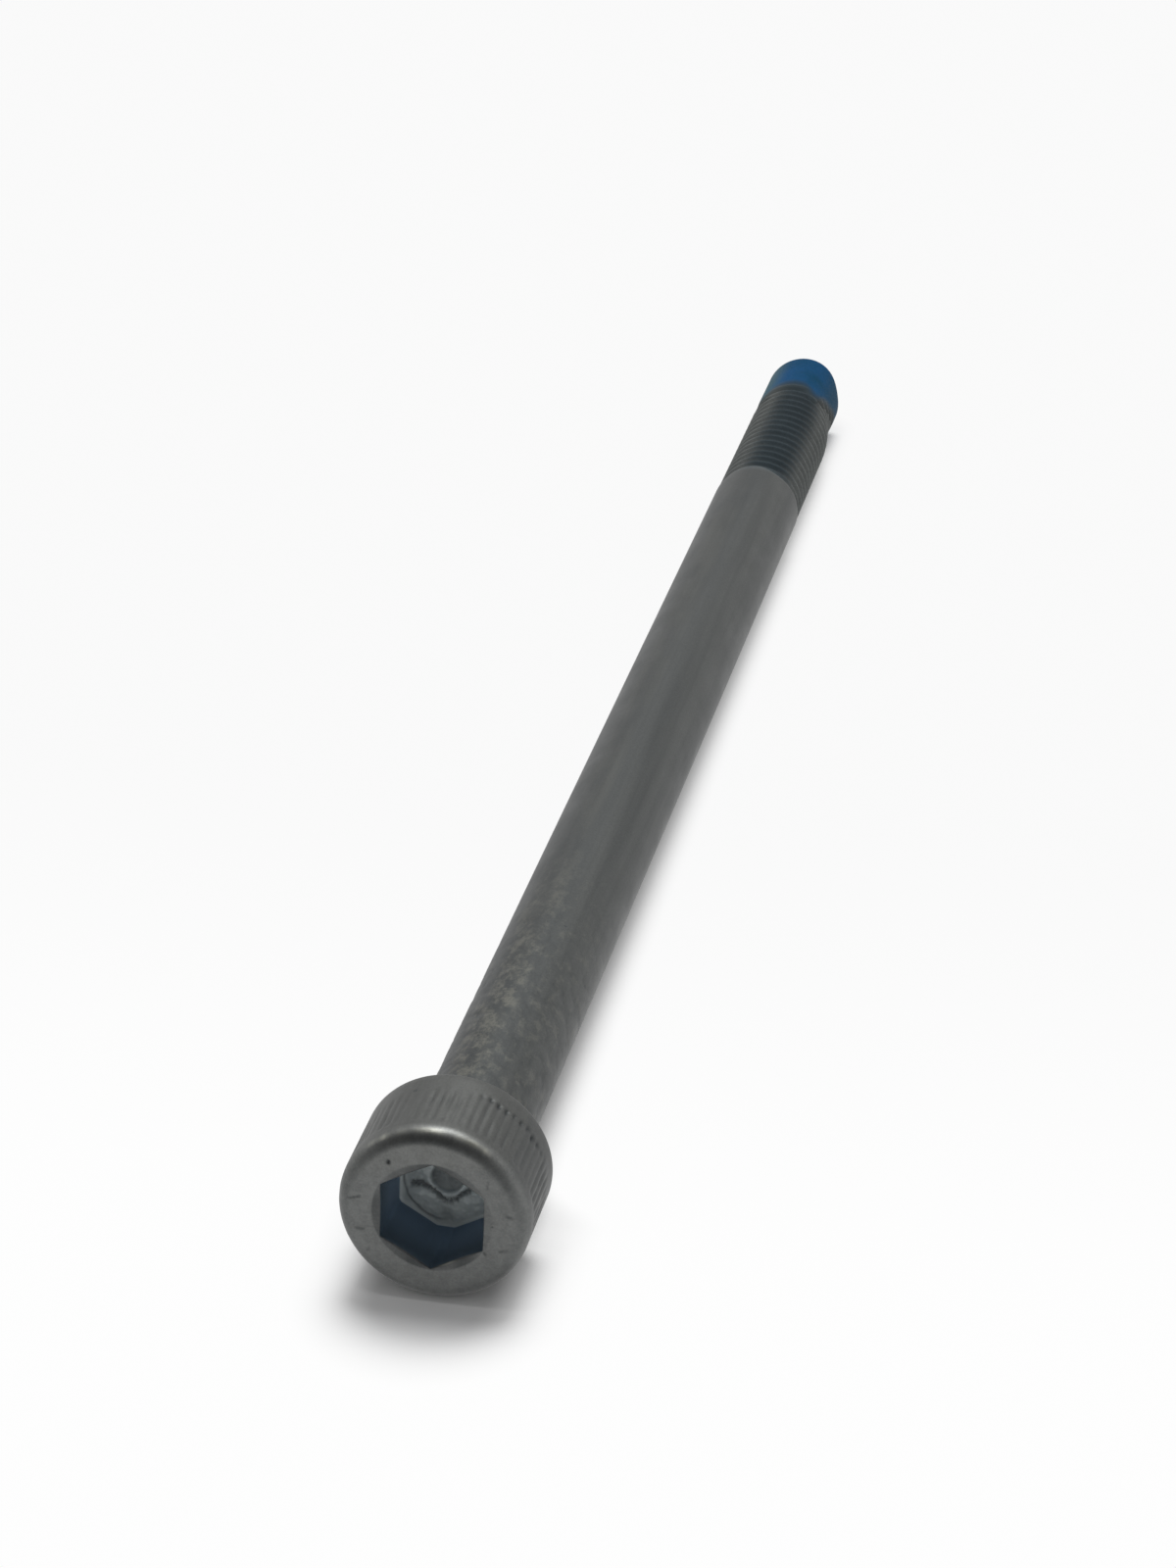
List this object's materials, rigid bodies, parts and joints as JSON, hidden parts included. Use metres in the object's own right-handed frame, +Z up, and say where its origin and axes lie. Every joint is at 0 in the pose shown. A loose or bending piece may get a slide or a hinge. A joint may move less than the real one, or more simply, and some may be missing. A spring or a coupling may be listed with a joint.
{
  "type": "socket head cap screw",
  "caption": "Long cap screw with a knurled cylindrical head, hexagon socket, plain shank, short end thread and a blue dried coat on its tip.",
  "frame": {"origin": "on the floor under the middle of the screw's overall length", "axes": "+Y along the screw from head to tip, lowered 1.07 degrees so that head and tip both touch the floor; +Z up"},
  "size_m": [0.01, 0.1161, 0.0101],
  "materials": {
    "steel": "dull mottled grey, forged and rolled, lightly pitted",
    "blue_coat": "satin dried thread-locking coat"
  },
  "bodies": {
    "root": {"screw": "steel", "thread_lock_coat": "blue_coat"}
  },
  "joints": []
}
